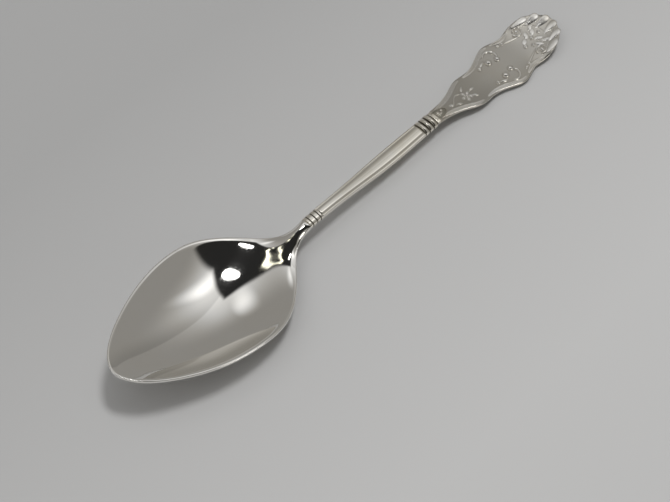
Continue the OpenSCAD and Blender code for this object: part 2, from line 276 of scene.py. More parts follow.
bowl = {  # in millimetres; every list holds (behind the tip, value)
    "length": 54.0,  # from the tip to the lower bands
    "rows": 56,
    "crowding": 1.8,  # how the rows draw together at the tip
    "columns": 26,
    "power": 2.2,
    "crease": 0.2,
    "rimHeight": 0.9,
    "halfWidths": [(0, 0.25), (0.6, 2.35), (1.5, 3.85), (4, 6.5), (10, 10.45), (18, 13.83), (27.5, 15.32),
                   (34.5, 14.18), (40, 10.75), (43.5, 7.4), (46.5, 4.1), (50, 1.75), (54, 1.4)],
    "rim": [(0, 11.05), (5, 10.06), (10, 9.12), (18, 7.96), (27.5, 6.69), (35, 5.08), (40, 3.89),
            (43.5, 3.32), (46.5, 3.39), (50, 4.28), (54, 5.4)],
    "underside": [(0, 10.15), (1.5, 9.2), (4, 7.7), (8, 5.5), (13, 3.2), (19, 1.17), (24.5, 0.07),
                  (27.5, -0.1), (31, 0.05), (37, 0.64), (42, 1.34), (46, 1.89), (50, 2.55), (54, 3.1)],
    "thickness": [(0, 0.9), (2, 1.2), (6, 1.2), (13, 1.0), (25, 0.9), (37, 1.04), (42, 1.4), (46, 1.94),
                  (50, 2.56), (54, 2.75)],
    "land": [(0, 0.5), (38, 0.5), (46, 0.3), (54, 0.15)],
    "leastInside": 0.06,
    "tipReach": 1.0,  # this near the tip
    "tipShare": 0.8,  # the hollow takes no more than this share of the width
    "hollowReach": 0.6,  # and past the tip's land it gets its depth over this length
    "slopeReach": 0.05,  # how far to both sides a slope is measured
}
halfWidthLine = smoothLine([(sqrt(s), w) for s, w in bowl["halfWidths"]])
rimLine = smoothLine(bowl["rim"])
undersideLine = smoothLine(bowl["underside"])
thicknessLine = smoothLine(bowl["thickness"])
landLine = smoothLine(bowl["land"])


def bowlHalfWidth(s):
    return halfWidthLine(sqrt(max(s, 0)))


def bowlInside(s):  # half the width inside the rim's flat land
    slope = steepness(bowlHalfWidth, s, bowl["slopeReach"])
    inside = max(bowlHalfWidth(s) - landLine(s) * sqrt(1 + slope * slope), bowl["leastInside"])
    return min(inside, bowlHalfWidth(s) * bowl["tipShare"]) if s < bowl["tipReach"] else inside


def bowlRows():
    top, under = [], []
    tipLand = landLine(0)
    for i in range(bowl["rows"] + 1):
        s = bowl["length"] * (i / bowl["rows"]) ** bowl["crowding"]
        rim, keel = rimLine(s), undersideLine(s)
        width, inside = bowlHalfWidth(s), bowlInside(s)
        under.append((along(s), width * mm, keel * mm, (rim - bowl["rimHeight"] - keel) * mm, 0))
        if i in (0, bowl["rows"]):  # at both ends the two sheets share their places
            inside = width * bowl["columns"] / (bowl["columns"] + 2)
        depth = (rim - keel - thicknessLine(s)) * max(0, min(1, (s - tipLand) / bowl["hollowReach"]))
        top.append((along(s), inside * mm, (rim - depth) * mm, depth * mm, (width - inside) * mm))
    return top, under


def makeBowl():
    top, under = bowlRows()
    section = across(bowl["columns"], bowl["power"])
    withLand = [(-1 - landMark, 1)] + section + [(1 + landMark, 1)]
    below = across(bowl["columns"] + 2, bowl["power"])
    piece = slab("bowlAndNeck", top, withLand, under, below, bowl["rimHeight"], bowl["crease"])
    only(piece)
    bpy.ops.object.mode_set(mode="EDIT")
    pick(piece, lambda co: co.z < 0)
    stretch(1, 1, 0)  # the worn flat under the bowl
    closeUp()
    return piece


# Stem with its bands and ribs

stem = {
    "start": 57.6,
    "end": 90.6,
    "rows": 18,
    "wall": 0.9,
    "widths": [(57.6, 1.4), (64.2, 1.48), (70.1, 1.7), (75.8, 1.97), (81.4, 2.07), (90.6, 1.97)],
    "edges": [(54, 5.4), (57.6, 5.4), (61.6, 5.25), (70.1, 4.63), (79.4, 4.11), (90.6, 3.9), (96, 3.85)],
    "crown": 0.48,
    "belly": 1.4,
    "section": [(1, 0), (0.94, 0.13), (0.86, 0.22), (0.8, 0.21), (0.76, 0.11), (0.71, 0.22), (0.62, 0.5),
                (0.48, 0.74), (0.32, 0.89), (0.16, 0.97)],  # from the edge thread to the crown
    "columns": 16,
    "power": 2.2,
    "crease": 0.6,
    "sideSteps": (-0.14, 0.06),  # the most that grooves and ribs step in and out at the sides
}
stemWidthLine = smoothLine(stem["widths"])
stemEdgeLine = smoothLine(stem["edges"])


def stemHalfWidth(s):
    return stemWidthLine(min(max(s, stem["start"]), stem["end"]))


def mirrored(half):  # from one side's share and height to the section from side to side
    left = [(-y, z) for y, z in half]
    return left + [(0, 1)] + [(-y, z) for y, z in reversed(left)]


def barRows(places, swell):  # rows of a crowned bar, each swollen or drawn in by its own amount
    top, under = [], []
    for s in places:
        grow = swell(s)
        edge = stemEdgeLine(s)
        width = stemHalfWidth(s) + max(stem["sideSteps"][0], min(grow, stem["sideSteps"][1]))
        top.append((along(s), width * mm, edge * mm, (stem["crown"] + grow) * mm, 0))
        base = edge - stem["wall"]
        under.append((along(s), width * mm, base * mm, -(stem["belly"] + grow) * mm, 0))
    return top, under


roundSection = [(y, 1 - z) for y, z in across(stem["columns"], stem["power"])]


def makeStem():
    top, under = barRows(even(stem["start"], stem["end"], stem["rows"]), lambda s: 0)
    lines = mirrored(stem["section"])
    below = [(y, 1 - abs(y) ** stem["power"]) for y, z in lines]
    return slab("stemBar", top, lines, under, below, stem["wall"], stem["crease"])


bands = {
    "start": 54.0,
    "end": 57.6,
    "grooves": [54.7, 55.95, 57.1],
    "grooveWidth": 0.3,
    "grooveDepth": 0.2,
    "grooveRows": (-2.4, -1.5, -1, 0, 1, 1.5, 2.4),  # in half widths from a groove's middle
    "firstRow": 54.3,
    # this share of a groove's width takes the darker silver: tarnish, and painted shade
    "darkShare": 0.9,
    "crease": 0.8,
}


def makeBands():
    half = bands["grooveWidth"] / 2
    places = [bands["start"], bands["firstRow"]]
    for s in bands["grooves"]:
        places += [s + half * step for step in bands["grooveRows"]]
    places.append(bands["end"])

    def cutIn(s):
        return -bands["grooveDepth"] * max(0, 1 - min(abs(s - g) for g in bands["grooves"]) / half)

    top, under = barRows(places, cutIn)
    return slab("lowerBands", top, roundSection, under, roundSection, stem["wall"], bands["crease"])


def inGroove(s):
    return min(abs(s - g) for g in bands["grooves"]) < bands["grooveWidth"] / 2 * bands["darkShare"]


ribs = {
    "start": 90.6,
    "end": 96.0,
    "count": 3,
    "pitch": 1.42,
    "rise": 0.3,
    "roundness": 0.5,
    "gapDepth": 0.4,
    "gapShare": 0.34,
    "rows": 10,  # to each rib
    "endRows": 4,
    "endShare": 0.4,  # past the last rib this share of the gap's depth stays
    "endReach": 0.3,
    "crease": 0.5,
}


def makeRibs():
    last = ribs["start"] + ribs["count"] * ribs["pitch"]
    places = even(ribs["start"], last, ribs["rows"] * ribs["count"])
    places += even(last, ribs["end"], ribs["endRows"])[1:]

    def bulge(s):
        if s >= last:
            return -ribs["gapDepth"] * max(ribs["endShare"], 1 - (s - last) / ribs["endReach"])
        turn = (s - ribs["start"]) / ribs["pitch"] % 1
        return (ribs["rise"] + ribs["gapDepth"]) * sin(pi * turn) ** ribs["roundness"] - ribs["gapDepth"]

    top, under = barRows(places, bulge)
    return slab("upperRibs", top, roundSection, under, roundSection, stem["wall"], ribs["crease"])


def inGap(s):
    turn = (s - ribs["start"]) / ribs["pitch"]
    return abs(turn - round(turn)) < ribs["gapShare"] / 2


# Terminal plate

plate = {
    "start": 96.0,
    "fanStart": 130.0,
    "end": 138.4,
    "rows": 44,
    "fanRows": 16,
    "fanCrowding": 2,  # how the rows draw together at the end
    "columns": 16,
    "topPower": 2,
    "underPower": 2.6,
    "crease": 0.0,
    "halfWidths": [(96, 1.97), (100, 2.41), (103.2, 3.29), (105.8, 4.31), (108.2, 4.89), (111.4, 4.79),
                   (114.5, 5.18), (117.5, 6.42), (120.4, 7.3), (123, 6.85), (125.8, 6.05), (127.8, 6.35),
                   (130, 6.6)],
    "fanWidths": [(0, 0.5), (0.4, 2.0), (1, 3.1), (2, 4.3), (3.5, 5.4), (5.5, 6.2),
                  (8.4, 6.6)],  # these are counted from the end
    "top": [(96, 4.0), (101, 3.2), (106, 2.45), (111, 1.85), (116, 1.52), (122, 1.42), (128, 1.5),
            (131, 1.75), (135, 2.4), (139, 3.25)],
    "bottom": [(96, 1.6), (99, 1.75), (103, 1.45), (108, 0.85), (113, 0.25), (117, 0.02), (122, 0.0),
               (128, 0.05), (131, 0.35), (135, 1.2), (139, 2.05)],
    "dish": [(96, -0.1), (112, -0.08), (124, -0.08), (128, 0.1), (131, 0.62), (134, 0.7), (136.5, 0.4),
             (138.2, 0.1)],  # how far the edges stand over the middle
    "wall": 0.75,
    "slopeReach": 0.1,
}
plateWidthLine = smoothLine(plate["halfWidths"])
plateFanLine = smoothLine([(sqrt(s), w) for s, w in plate["fanWidths"]])
plateTopLine = smoothLine(plate["top"])
plateBottomLine = smoothLine(plate["bottom"])
plateDishLine = smoothLine(plate["dish"])


def plateHalfWidth(s):
    if s <= plate["fanStart"]:
        return plateWidthLine(s)
    return plateFanLine(sqrt(max(plate["end"] - s, 0)))


def plateShare(s, y):
    return max(-1, min(1, y / plateHalfWidth(s)))


def onPlate(s, y):  # a point on the plate's upper face
    rise = plateDishLine(s) * abs(plateShare(s, y)) ** plate["topPower"]
    return Vector((along(s), y * mm, (plateTopLine(s) + rise) * mm))


def plateSlope(s):
    return steepness(plateTopLine, s, plate["slopeReach"])


def plateLean(s, y):
    share, power = plateShare(s, y), plate["topPower"]
    return power * plateDishLine(s) * share * abs(share) ** (power - 2) / plateHalfWidth(s)


def makePlate():
    places = even(plate["start"], plate["fanStart"], plate["rows"])
    span = plate["end"] - plate["fanStart"]
    for share in even(0, 1, plate["fanRows"])[1:]:
        places.append(plate["end"] - span * (1 - share) ** plate["fanCrowding"])
    top, under = [], []
    for s in places:
        width = plateHalfWidth(s)
        high, dish = plateTopLine(s), plateDishLine(s)
        low = max(plateBottomLine(s), 0)
        top.append((along(s), width * mm, high * mm, dish * mm, 0))
        under.append((along(s), width * mm, low * mm, (high + dish - plate["wall"] - low) * mm, 0))
    section = across(plate["columns"], plate["topPower"])
    below = across(plate["columns"], plate["underPower"])
    return slab("terminalPlate", top, section, under, below, plate["wall"], plate["crease"])


# Relief on the terminal

relief = {
    "borderHalfWidth": 0.74,
    "borderHeight": 0.3,
    "borderInset": 0.8,
    "strokes": [(96.8, 108.8), (110.2, 121.6), (122.6, 128.6)],
    "strokeRows": 26,
    "endRows": 10,  # rows over which a stroke runs out, to these shares of its height and width
    "endHeight": 0.06,
    "endWidth": 0.25,
    "moulding": [(-1, -1), (1, -1), (1, -0.3), (0.93, 0.15), (0.8, 0.52), (0.62, 0.8), (0.45, 0.86),
                 (0.28, 0.72), (0.12, 0.28), (0, 0.12), (-0.12, 0.22), (-0.28, 0.5), (-0.44, 0.6),
                 (-0.62, 0.45), (-0.8, 0.12), (-0.92, -0.1), (-1, -0.4)],
    "beadHeight": 0.75,  # share of its radius
    "leafHeight": 0.3,
    "leafPoint": 0.45,  # how far a leaf is drawn in at its tip
    "leafBlunt": 0.35,  # and at its stalk
    "pointPower": 1.5,
    "bluntPower": 2,
    "ridgeSize": 0.16,
    "ridgeEnd": 0.35,
}
quarter = radians(90)
ringSides = 10
ringSize = 2.0  # a new ring is wider than any outline, so that a point that has moved isn't found twice
podRings = 12
podSides = 16
curlSteps = 22


def thread(name, path, outline=None):
    # a bar pushed out of one ring after another; path holds (place, half width, half height), outline the
    # ring's own (share of width, share of height) where it isn't round
    (first, wide, high) = path[0]
    sides = len(outline) if outline else ringSides
    bpy.ops.object.select_all(action="DESELECT")
    bpy.ops.mesh.primitive_circle_add(vertices=sides, radius=ringSize, fill_type="NGON", location=(0, 0, 0),
                                      rotation=(0, quarter, 0))
    piece = openNew(name)
    if outline:
        starts = [vertex.co.copy() for vertex in bmesh.from_edit_mesh(piece.data).verts]
        for start, (y, z) in zip(starts, outline):
            pick(piece, lambda co: (co - start).length < close)
            move(0, y - start.y, z - start.z)
    bpy.ops.mesh.select_all(action="SELECT")
    if not outline:
        stretch(1, 1 / ringSize, 1 / ringSize)
    stretch(1, wide, high)
    move(*first)
    for (here, wide, high), (there, nextWide, nextHigh) in zip(path, path[1:]):
        bpy.ops.mesh.extrude_region_move(TRANSFORM_OT_translate={"value": tuple(there - here)})
        stretch(1, nextWide / wide, nextHigh / high, about=tuple(there))
    bpy.ops.mesh.select_all(action="SELECT")
    bpy.ops.mesh.normals_make_consistent(inside=False)
    closeUp()
    return piece


def borderStroke(name, side, first, last):  # two soft threads side by side, running out at both ends
    rows, endHeight, endWidth = relief["strokeRows"], relief["endHeight"], relief["endWidth"]
    path = []
    for i, s in enumerate(even(first, last, rows)):
        slope = steepness(plateHalfWidth, s, plate["slopeReach"])
        lean = sqrt(1 + slope * slope)
        taper = endHeight + (1 - endHeight) * sin(min(1, min(i, rows - i) / relief["endRows"]) * quarter)
        place = onPlate(s, side * (plateHalfWidth(s) - relief["borderInset"] * lean))
        wide = relief["borderHalfWidth"] * lean * (endWidth + (1 - endWidth) * taper)
        path.append((place, wide * mm, relief["borderHeight"] * taper * mm))
    outline = [(side * y, z) for y, z in relief["moulding"]]
    return subdivided(thread(name, path, outline))


def makeBorder(side, name):
    strokes = [borderStroke("stroke" + str(i), side, *ends) for i, ends in enumerate(relief["strokes"])]
    return joined(name, strokes)


def pod(name, long, wide, high, point=0.0, blunt=0.0):
    # a ball with its poles at its ends, each ring then drawn in, more to the pointed end
    bpy.ops.object.select_all(action="DESELECT")
    bpy.ops.mesh.primitive_uv_sphere_add(segments=podSides, ring_count=podRings, radius=1, location=(0, 0, 0),
                                         rotation=(0, quarter, 0))
    piece = openNew(name)
    for i in range(1, podRings):
        x = -cos(pi * i / podRings)
        pick(piece, lambda co: abs(co.x - x) < close)
        draw = 1 - point * max(0, -x) ** relief["pointPower"] - blunt * max(0, x) ** relief["bluntPower"]
        stretch(1, draw, sqrt(draw))
    bpy.ops.mesh.select_all(action="SELECT")
    stretch(long / 2 * mm, wide / 2 * mm, high * mm)
    closeUp()
    return piece


def curl(name, radius, tube, height, turn, shrink):  # a ring pushed round a middle, drawn in at each step
    bpy.ops.object.select_all(action="DESELECT")
    bpy.ops.mesh.primitive_circle_add(vertices=ringSides, radius=1, fill_type="NGON", location=(0, 0, 0),
                                      rotation=(quarter, 0, 0))
    piece = openNew(name)
    bpy.ops.mesh.select_all(action="SELECT")
    stretch(tube * mm, 1, height * mm)
    move(radius * mm)
    ratio = shrink ** (1 / curlSteps)
    for i in range(curlSteps):
        bpy.ops.mesh.extrude_region_move(TRANSFORM_OT_translate={"value": (0, 0, 0)})
        bpy.ops.transform.rotate(value=-radians(turn) / curlSteps, orient_axis="Z", center_override=(0, 0, 0))
        stretch(ratio, ratio, 1)
    bpy.ops.mesh.select_all(action="SELECT")
    bpy.ops.mesh.normals_make_consistent(inside=False)
    closeUp()
    return subdivided(piece)


def seat(piece, s, y, turn=0.0, sizes=(1, 1, 1)):  # sets a piece down on the plate, turned in degrees
    return placed(piece, onPlate(s, y), radians(turn), -plateSlope(s), plateLean(s, y), sizes)


def makeBeads(name, places):  # places hold (s, y, radius)
    model = pod("beadModel", 2, 2, relief["beadHeight"])
    copies = [seat(copied(model, name + str(i)), s, y, 0, (r, r, r)) for i, (s, y, r) in enumerate(places)]
    bpy.data.objects.remove(model)
    return copies


def makeLeaves(name, places, height=relief["leafHeight"]):  # places hold (s, y, length, width, turn)
    model = pod("leafModel", 1, 1, height, relief["leafPoint"], relief["leafBlunt"])
    copies = []
    for i, (s, y, long, wide, turn) in enumerate(places):
        copies.append(seat(copied(model, name + str(i)), s, y, turn, (long, wide, 1)))
    bpy.data.objects.remove(model)
    return copies


def ridge(name, places, size=relief["ridgeSize"]):  # a fine line through places (s, y), thin at its ends
    last = len(places) - 1
    path = []
    for i, (s, y) in enumerate(places):
        fine = size * (relief["ridgeEnd"] if i in (0, last) else 1) * mm
        path.append((onPlate(s, y), fine, fine))
    return subdivided(thread(name, path))


cartouche = {
    "middle": (97.3, 0),
    "panel": (4.3, 2.3, 0.1),  # length, width, height
    "outline": [(95.2, 0.3), (95.3, 1.05), (96.5, 1.25), (97.9, 1.2), (98.9, 0.85), (99.4, 0.3),
                (99.5, -0.1)],
    "beads": [(96.9, 0.05, 0.62), (98.3, 0.35, 0.36)],
    "leaves": [(97.6, -0.35, 1.6, 0.6, 20)],
}


# the cartouche's ground and outline take a darker silver: painted shade of the recessed panel
def makePanel():  # the dark ground of the cartouche with its outline
    sides = [ridge("panelSide" + str(i), [(s, y * side) for s, y in cartouche["outline"]])
             for i, side in enumerate((-1, 1))]
    ground = seat(pod("panelGround", *cartouche["panel"]), *cartouche["middle"])
    return joined("cartouchePanel", sides + [ground])


def makeCartouche():
    beads = makeBeads("panelBead", cartouche["beads"])
    return joined("cartouche", beads + makeLeaves("panelLeaf", cartouche["leaves"]))


spray = {
    "stalk": [(101.6, -0.7), (102.2, -0.3), (103, 0.5), (103.9, 1.2), (104.6, 1.4), (105.3, 0.9), (106, 0.2)],
    "leaves": [(101.3, -0.3, 1.5, 0.8, -30), (103.2, -1.2, 1.7, 0.7, -25), (107.0, 1.7, 2.0, 0.8, 35),
               (108.2, -1.7, 2.0, 0.8, -42), (109.0, 0.2, 1.9, 0.7, 0)],
    "stalkSize": 0.18,
    "flower": (106.4, -0.6),
    "petals": 5,
    "petalReach": 0.98,
    "petal": (1.3, 0.95),  # length, width
    "heart": 0.42,
}


def makeSpray():
    s, y = spray["flower"]
    reach = spray["petalReach"]
    petals = []
    for i in range(spray["petals"]):
        turn = 360 * (i + 0.5) / spray["petals"]
        petals.append((s + reach * cos(radians(turn)), y + reach * sin(radians(turn)), *spray["petal"], turn))
    pieces = [ridge("stalk", spray["stalk"], spray["stalkSize"])] + makeLeaves("sprayLeaf", spray["leaves"])
    pieces += makeLeaves("petal", petals) + makeBeads("flowerHeart", [(s, y, spray["heart"])])
    return joined("flowerSpray", pieces)


scroll = {
    "middle": (119.7, 3.75),
    "arc": (1.85, 0.34, 0.36, 215, 0.9),  # radius, half width, height, degrees round, share left at its end
    "turns": {1: -75, -1: -140},  # of the left and the right one
    "beads": [(120.6, 2.1, 0.8), (118.2, 2.75, 0.92), (115.2, 2.95, 0.6)],
    "leaves": [(116.7, 3.6, 2.6, 0.9, 22), (123.8, 4.7, 1.5, 0.8, -20)],
}


def makeScroll(side, name):
    middle, aside = scroll["middle"]
    arc = seat(curl("arc", *scroll["arc"]), middle, side * aside, scroll["turns"][side])
    beads = makeBeads("scrollBead", [(s, side * y, r) for s, y, r in scroll["beads"]])
    leaves = makeLeaves("scrollLeaf", [(s, side * y, long, wide, side * turn)
                                       for s, y, long, wide, turn in scroll["leaves"]])
    return joined(name, [arc] + beads + leaves)


crest = {
    "lobes": [(136.3, 1.17, 4.7, 2.4, 0), (135.1, 3.5, 4.4, 2.35, -1), (132.3, 5.25, 5.0, 2.1, -9)],
    "lobeHeight": 0.24,
    "lobeShape": [(0, 0.12, 0.05), (0.15, 0.42, 0.3), (0.35, 0.7, 0.62), (0.55, 0.93, 0.88), (0.72, 1, 1),
                  (0.85, 0.92, 0.97), (0.94, 0.68, 0.8), (0.985, 0.38, 0.5), (1, 0.1, 0.15)],
    "lobeLean": 0.17,
    "edge": [(129.3, 5.3), (130.6, 4.75), (132.2, 4.2), (133.4, 3.4), (134.3, 2.2), (134.6, 1.0), (134.7, 0)],
    "edgeSize": 0.12,
    "bar": [(124.9, 4.3), (126.5, 3.75), (128.1, 3.2), (129.6, 2.7)],
    "barSize": 0.3,
    "volute": (130.1, 4.05),
    "voluteCurl": (1.35, 0.3, 0.4, 330, 0.75),  # as the arc of a scroll
    "voluteBead": 0.6,
    "curlBead": (125.0, 4.3, 0.5),
    "beads": [(128.3, -0.5, 0.55), (129.9, -1.5, 0.5), (131.2, 0.2, 0.6), (133.6, 0.1, 0.5)],
    "leaves": [(129.3, 0.7, 2.3, 1.3, 30), (130.9, 1.7, 2.3, 1.3, 55), (132.3, -1.0, 2.4, 1.3, -35),
               (132.6, 1.2, 2.4, 1.3, 35), (131.2, -2.3, 2.4, 1.3, -60), (133.0, -2.7, 2.5, 1.2, -30),
               (133.2, 2.4, 2.2, 1.1, 30)],
    "leafHeight": 0.12,
}


def makeLobes():
    shape = [(Vector(((share - 0.5) * mm, 0, 0)), wide / 2 * mm, high * crest["lobeHeight"] * mm)
             for share, wide, high in crest["lobeShape"]]
    model = subdivided(thread("lobeModel", shape))
    lobes = []
    for side in (-1, 1):
        for i, (s, y, long, wide, turn) in enumerate(crest["lobes"]):
            lobes.append(placed(copied(model, "lobe" + str(i)), onPlate(s, side * y), radians(side * turn),
                                -plateSlope(s), side * crest["lobeLean"], (long, wide, 1)))
    bpy.data.objects.remove(model)
    return lobes


def makeVolute(side):  # with the bar that runs down from it and the bead at the bar's end
    s, y = crest["volute"]
    radius, tube, height, turn, shrink = crest["voluteCurl"]
    ring = seat(curl("volute", radius, tube, height, side * turn, shrink), s, side * y, 180)
    middle = makeBeads("voluteBead", [(s, side * y, crest["voluteBead"])])
    s, y, radius = crest["curlBead"]
    bead = makeBeads("curlBead", [(s, side * y, radius)])
    bar = ridge("innerBar", [(s, side * y) for s, y in crest["bar"]], crest["barSize"])
    return [ring, bar] + middle + bead


def makeCrest():
    pieces = makeLobes() + makeVolute(-1) + makeVolute(1)
    edge = crest["edge"] + [(s, -y) for s, y in reversed(crest["edge"][:-1])]
    pieces.append(ridge("shellEdge", edge, crest["edgeSize"]))
    pieces += makeBeads("clusterBead", crest["beads"])
    pieces += makeLeaves("clusterLeaf", crest["leaves"], crest["leafHeight"])
    return joined("shellCrest", pieces)


# Materials

tones = {
    "bright": (0.90, 0.885, 0.85),
    "warm": (0.80, 0.74, 0.62),
    # a darker silver for the terminal's field: a painted dark reflection; its warm clouds are tarnish
    "fieldDarkReflection": (0.6, 0.58, 0.53),
    "fieldDarkReflectionWarm": (0.56, 0.51, 0.42),
    "toned": (0.93, 0.9, 0.83),
    "tonedWarm": (0.85, 0.79, 0.66),
    "shade": (0.47, 0.445, 0.385),
    # a dark tone for the hollows: tarnish, and painted shade
    "hollowTarnishAndShade": (0.2, 0.185, 0.15),
}
finishes = {  # tone, tone of the tarnish, roughness, wear, amount of tarnish, depth of the scratches
    "polished": ("bright", "warm", 0.03, 0.06, 0.15, 0.05),
    "handled": ("bright", "warm", 0.1, 0.14, 0.6, 0.12),
    "toned": ("toned", "tonedWarm", 0.06, 0.12, 0.7, 0.1),
    # the field's darker tone is a painted dark reflection
    "darkReflectionField": ("fieldDarkReflection", "fieldDarkReflectionWarm", 0.1, 0.14, 0.5, 0.15),
    "worked": ("bright", "warm", 0.17, 0.15, 0.7, 0.15),
    # a darker copy of the silver: painted shade on the cartouche panel
    "shaded": ("shade", None, 0.25, 0.15, 0.0, 0.15),
    # tarnish and painted shade for the grooves and the gaps between the ribs
    "tarnishAndShade": ("hollowTarnishAndShade", None, 0.3, 0.15, 0.0, 0.15),
}
hairlines = {
    "scale": 300.0,
    "stretch": (0.25, 3.0, 3.0),
    "turn": 24,
    "detail": 6,
    "roughness": 0.7,
    "patchScale": 90,
    "patchDetail": 3,
    "bumpDistance": 0.00002,
}
clouds = {
    "scale": 120.0,
    "detail": 4,
    "from": 0.4,
    "to": 0.75,
}


def newGroup(name, inputs, outputs):
    group = bpy.data.node_groups.new(name, "ShaderNodeTree")
    for label, kind, value in inputs:
        socket = group.interface.new_socket(name=label, in_out="INPUT", socket_type=kind)
        socket.default_value = value
    for label, kind in outputs:
        group.interface.new_socket(name=label, in_out="OUTPUT", socket_type=kind)
    return group, group.nodes.new("NodeGroupInput"), group.nodes.new("NodeGroupOutput")


def makeScratches():  # fine wear: long hairlines and soft patches where the polish is duller
    inputs = [("Base Roughness", "NodeSocketFloat", 0.05), ("Wear", "NodeSocketFloat", 0.05),
              ("Scale", "NodeSocketFloat", hairlines["scale"])]
    outputs = [("Roughness", "NodeSocketFloat"), ("Height", "NodeSocketFloat")]
    group, given, result = newGroup("fineScratches", inputs, outputs)
    nodes, links = group.nodes, group.links
    place = nodes.new("ShaderNodeTexCoord")
    turned = nodes.new("ShaderNodeMapping")
    turned.inputs["Scale"].default_value = hairlines["stretch"]
    turned.inputs["Rotation"].default_value = (0, 0, radians(hairlines["turn"]))
    hair = nodes.new("ShaderNodeTexNoise")
    hair.inputs["Detail"].default_value = hairlines["detail"]
    hair.inputs["Roughness"].default_value = hairlines["roughness"]
    patch = nodes.new("ShaderNodeTexNoise")
    patch.inputs["Scale"].default_value = hairlines["patchScale"]
    patch.inputs["Detail"].default_value = hairlines["patchDetail"]
    product = nodes.new("ShaderNodeMath")
    product.operation = "MULTIPLY"
    total = nodes.new("ShaderNodeMath")
    total.operation = "MULTIPLY_ADD"
    links.new(place.outputs["Object"], turned.inputs["Vector"])
    links.new(turned.outputs["Vector"], hair.inputs["Vector"])
    links.new(given.outputs["Scale"], hair.inputs["Scale"])
    links.new(place.outputs["Object"], patch.inputs["Vector"])
    links.new(hair.outputs["Fac"], product.inputs[0])
    links.new(patch.outputs["Fac"], product.inputs[1])
    links.new(product.outputs["Value"], total.inputs[0])
    links.new(given.outputs["Wear"], total.inputs[1])
    links.new(given.outputs["Base Roughness"], total.inputs[2])
    links.new(total.outputs["Value"], result.inputs["Roughness"])
    links.new(hair.outputs["Fac"], result.inputs["Height"])
    return group


def makeTarnish():  # warm and grey cast that gathers in soft clouds
    inputs = [("Bright", "NodeSocketColor", (1, 1, 1, 1)), ("Warm", "NodeSocketColor", (1, 1, 1, 1)),
              ("Amount", "NodeSocketFloat", 0.3), ("Scale", "NodeSocketFloat", clouds["scale"])]
    group, given, result = newGroup("softTarnish", inputs, [("Color", "NodeSocketColor")])
    nodes, links = group.nodes, group.links
    place = nodes.new("ShaderNodeTexCoord")
    cloud = nodes.new("ShaderNodeTexNoise")
    cloud.inputs["Detail"].default_value = clouds["detail"]
    level = nodes.new("ShaderNodeMapRange")
    level.inputs["From Min"].default_value = clouds["from"]
    level.inputs["From Max"].default_value = clouds["to"]
    amount = nodes.new("ShaderNodeMath")
    amount.operation = "MULTIPLY"
    mix = nodes.new("ShaderNodeMix")
    mix.data_type = "RGBA"
    links.new(place.outputs["Object"], cloud.inputs["Vector"])
    links.new(given.outputs["Scale"], cloud.inputs["Scale"])
    links.new(cloud.outputs["Fac"], level.inputs["Value"])
    links.new(level.outputs["Result"], amount.inputs[0])
    links.new(given.outputs["Amount"], amount.inputs[1])
    links.new(amount.outputs["Value"], mix.inputs["Factor"])
    links.new(given.outputs["Bright"], mix.inputs["A"])
    links.new(given.outputs["Warm"], mix.inputs["B"])
    links.new(mix.outputs["Result"], result.inputs["Color"])
    return group


def makeSilver(name, scratches, tarnish):
    tone, tarnished, roughness, wear, amount, depth = finishes[name]
    material = bpy.data.materials.new(name + "Silver")
    material.use_nodes = True
    nodes, links = material.node_tree.nodes, material.node_tree.links
    shader = nodes["Principled BSDF"]
    shader.inputs["Metallic"].default_value = 1.0
    worn = nodes.new("ShaderNodeGroup")
    worn.node_tree = scratches
    worn.inputs["Base Roughness"].default_value = roughness
    worn.inputs["Wear"].default_value = wear
    raised = nodes.new("ShaderNodeBump")
    raised.inputs["Strength"].default_value = depth
    raised.inputs["Distance"].default_value = hairlines["bumpDistance"]
    links.new(worn.outputs["Roughness"], shader.inputs["Roughness"])
    links.new(worn.outputs["Height"], raised.inputs["Height"])
    links.new(raised.outputs["Normal"], shader.inputs["Normal"])
    if tarnished:
        cast = nodes.new("ShaderNodeGroup")
        cast.node_tree = tarnish
        cast.inputs["Bright"].default_value = (*tones[tone], 1)
        cast.inputs["Warm"].default_value = (*tones[tarnished], 1)
        cast.inputs["Amount"].default_value = amount
        links.new(cast.outputs["Color"], shader.inputs["Base Color"])
    else:  # a tone that is the same all over stands on the shader itself
        shader.inputs["Base Color"].default_value = (*tones[tone], 1)
    return material


# Floor, light and camera

studio = {
    # the floor is painted paler towards the near side: painted light, as if the lamps fell off across it
    "floor": 0.41,  # paleness at the far side
    "floorNearLit": 0.56,  # and at the near side
    "floorSpan": (0.06, -0.06),  # the Y from which it has them
    "floorSize": 6.0,
    "floorRoughness": 0.75,
    "camera": (-0.10895, -0.10822, 0.22557),
    "forward": (0.3580, 0.3820, -0.8521),
    "up": (0.6172, 0.5880, 0.5230),
    "focalPixels": 1200,
    "pictureWidth": 670,
    "sensor": 36.0,
    "clipStart": 0.01,
}


def makeFloor():
    bpy.ops.object.select_all(action="DESELECT")
    bpy.ops.mesh.primitive_plane_add(size=studio["floorSize"], location=(0, 0, 0))
    floor = bpy.context.active_object
    floor.name = "floor"
    paint = bpy.data.materials.new("paleBoard")
    paint.use_nodes = True
    nodes, links = paint.node_tree.nodes, paint.node_tree.links
    shader = nodes["Principled BSDF"]
    shader.inputs["Roughness"].default_value = studio["floorRoughness"]
    place = nodes.new("ShaderNodeTexCoord")
    parts = nodes.new("ShaderNodeSeparateXYZ")
    # painted light: the floor's colour grows paler towards the near side
    paintedFalloff = nodes.new("ShaderNodeMapRange")
    paintedFalloff.inputs["From Min"].default_value = studio["floorSpan"][0]
    paintedFalloff.inputs["From Max"].default_value = studio["floorSpan"][1]
    paintedFalloff.inputs["To Min"].default_value = studio["floor"]
    paintedFalloff.inputs["To Max"].default_value = studio["floorNearLit"]
    links.new(place.outputs["Object"], parts.inputs["Vector"])
    links.new(parts.outputs["Y"], paintedFalloff.inputs["Value"])
    links.new(paintedFalloff.outputs["Result"], shader.inputs["Base Color"])
    floor.data.materials.append(paint)


